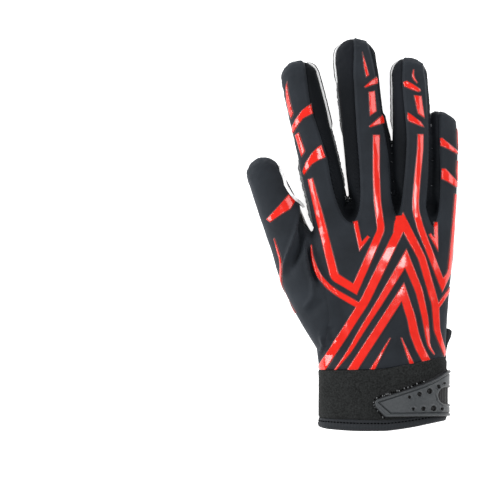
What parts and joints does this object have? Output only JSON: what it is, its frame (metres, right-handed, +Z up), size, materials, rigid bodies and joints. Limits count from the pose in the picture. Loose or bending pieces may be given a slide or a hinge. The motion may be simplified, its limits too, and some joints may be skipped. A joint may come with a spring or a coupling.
{
  "type": "football glove",
  "caption": "Right-hand football receiver glove lying on its palm: cloth back with raised stripes, coated palm, elastic cuff, pull tab.",
  "frame": {"origin": "centre of the bounding box in plan, on the surface that the glove lies on", "axes": "+Y towards the fingertips, +Z up out of the back of the hand, -X towards the thumb"},
  "size_m": [0.1298, 0.2436, 0.0375],
  "materials": {
    "back_cloth": "dark charcoal stretch cloth, fine knit",
    "palm_coat": "wet-gloss black grip coating with a flush red pattern",
    "gusset_cloth": "near-black stretch cloth, matte",
    "cuff_elastic": "black elastic, fine grain, matte",
    "hem_tape": "black folded tape with a stitch row",
    "strap_textile": "black textile strap with a stitched edge",
    "tab_rubber": "mid-grey moulded rubber, satin",
    "red_print": "bright red raised print, glossy and puffed"
  },
  "bodies": {
    "root": {"back_panel": "back_cloth", "thumb_back": "back_cloth", "palm_panel": "palm_coat", "thumb_palm": "palm_coat", "gusset_index_middle": "gusset_cloth", "gusset_middle_ring": "gusset_cloth", "gusset_ring_little": "gusset_cloth", "cuff_band": "cuff_elastic", "cuff_hem": "hem_tape", "vent_binding": "hem_tape", "closure_strap": "strap_textile", "pull_tab": "tab_rubber", "print_chevron_outer": "red_print", "print_chevron_middle": "red_print", "print_chevron_inner": "red_print", "print_ray_left": "red_print", "print_ray_right": "red_print", "print_index_line": "red_print", "print_ring_line": "red_print", "print_tick_left": "red_print", "print_tick_right": "red_print", "print_index_tip": "red_print", "print_index_bar_1": "red_print", "print_index_link": "red_print", "print_index_bar_2": "red_print", "print_middle_tip": "red_print", "print_middle_bar_1": "red_print", "print_middle_link": "red_print", "print_middle_bar_2": "red_print", "print_ring_tip": "red_print", "print_ring_bar_1": "red_print", "print_ring_link": "red_print", "print_ring_bar_2": "red_print", "print_little_bar_1": "red_print", "print_little_bar_2": "red_print", "print_little_side_1": "red_print", "print_little_side_2": "red_print", "print_thumb_bar": "red_print", "print_thumb_edge": "red_print"}
  },
  "joints": []
}
